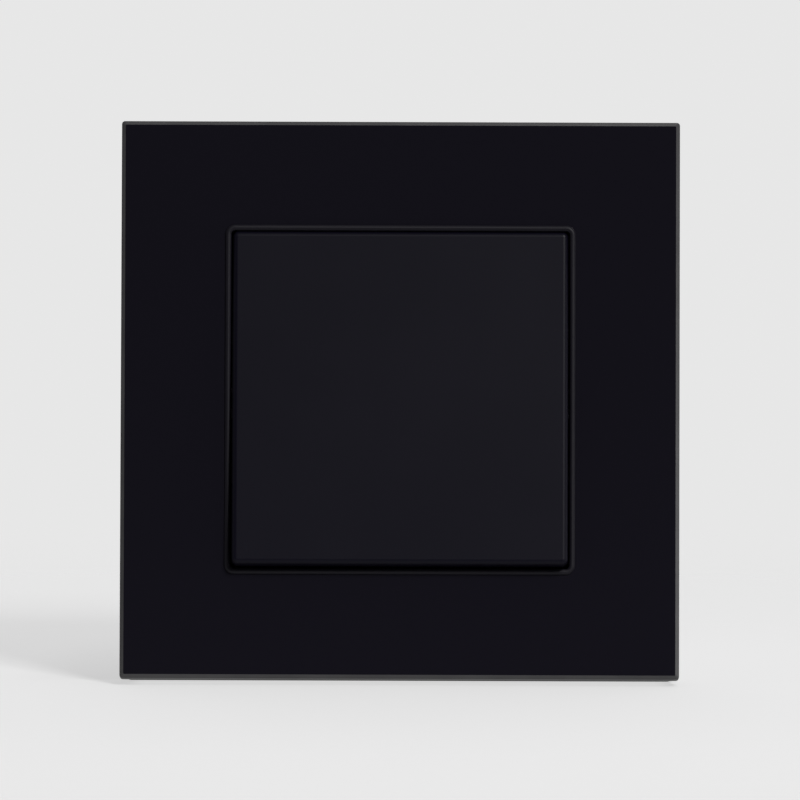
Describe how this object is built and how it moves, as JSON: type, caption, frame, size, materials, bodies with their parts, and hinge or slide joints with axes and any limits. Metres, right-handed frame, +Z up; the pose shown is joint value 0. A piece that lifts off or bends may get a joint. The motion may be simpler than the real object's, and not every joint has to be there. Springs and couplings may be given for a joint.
{
  "type": "intermediate light switch",
  "caption": "Square black glass intermediate switch with one wide rocker in a slim trim ring, on a steel strap for a wall box.",
  "frame": {"origin": "centre between the two box screw slots, on the wall plane", "axes": "+X to the right seen from the front, +Z up, +Y into the wall; the front faces -Y"},
  "size_m": [0.088, 0.0382, 0.088],
  "materials": {
    "black_glass": "polished",
    "foam_tape": "matte",
    "carrier_plastic": "satin",
    "ring_plastic": "gloss",
    "rocker_plastic": "soft matte",
    "lever_plastic": "natural",
    "plunger_plastic": "natural",
    "spring_steel": "drawn",
    "copper_alloy": "rolled",
    "contact_silver": "turned",
    "strip_brass": "rolled",
    "terminal_brass": "machined",
    "screw_steel": "zinc plated",
    "base_plastic": "moulded",
    "cover_plastic": "moulded",
    "strap_steel": "zinc plated",
    "rivet_steel": "upset"
  },
  "bodies": {
    "housing": {"glass_plate": "black_glass", "bonding_tape": "foam_tape", "frame_carrier": "carrier_plastic", "module_frame": "ring_plastic", "mounting_strap": "strap_steel", "base_rivets": "rivet_steel", "switch_base": "base_plastic", "mechanism_cover": "cover_plastic", "common_strip_left": "strip_brass", "common_strip_right": "strip_brass", "cross_link_upper": "strip_brass", "cross_link_lower": "strip_brass", "fixed_tips_upper": "contact_silver", "fixed_tips_lower": "contact_silver", "terminal_in_left": "terminal_brass", "terminal_in_right": "terminal_brass", "terminal_out_left": "terminal_brass", "terminal_out_right": "terminal_brass", "terminal_screws": "screw_steel", "earth_terminal": "terminal_brass", "earth_screw": "screw_steel"},
    "rocker_group": {"rocker": "rocker_plastic", "drive_lever": "lever_plastic", "plunger_spring_left": "spring_steel", "plunger_spring_right": "spring_steel"},
    "plunger_l": {"plunger_left": "plunger_plastic"},
    "plunger_r": {"plunger_right": "plunger_plastic"},
    "blade_l": {"contact_blade_left": "copper_alloy", "blade_tips_left": "contact_silver"},
    "blade_r": {"contact_blade_right": "copper_alloy", "blade_tips_right": "contact_silver"}
  },
  "joints": [
    {"name": "rocker_tilt", "type": "hinge", "parent": "housing", "child": "rocker_group", "pos_m": [0, -0.0076, 0], "axis": [1, 0, 0], "range_deg": [0, 6]},
    {"name": "plunger_left_travel", "type": "slide", "parent": "rocker_group", "child": "plunger_l", "axis": [0, -0.9986, 0.0523], "range_m": [0, 0.0008], "stiffness_N_per_m": 500, "deforming": ["plunger_spring_left"]},
    {"name": "plunger_right_travel", "type": "slide", "parent": "rocker_group", "child": "plunger_r", "axis": [0, -0.9986, 0.0523], "range_m": [0, 0.0008], "stiffness_N_per_m": 500, "deforming": ["plunger_spring_right"]},
    {"name": "blade_left_rock", "type": "hinge", "parent": "housing", "child": "blade_l", "pos_m": [-0.0085, 0.008, 0], "axis": [1, 0, 0], "range_deg": [-12, 0]},
    {"name": "blade_right_rock", "type": "hinge", "parent": "housing", "child": "blade_r", "pos_m": [0.0085, 0.008, 0], "axis": [1, 0, 0], "range_deg": [-12, 0]}
  ],
  "couplings": [
    {"joint": "blade_left_rock", "follows": "rocker_tilt", "ratio": -2},
    {"joint": "blade_right_rock", "follows": "rocker_tilt", "ratio": -2}
  ]
}
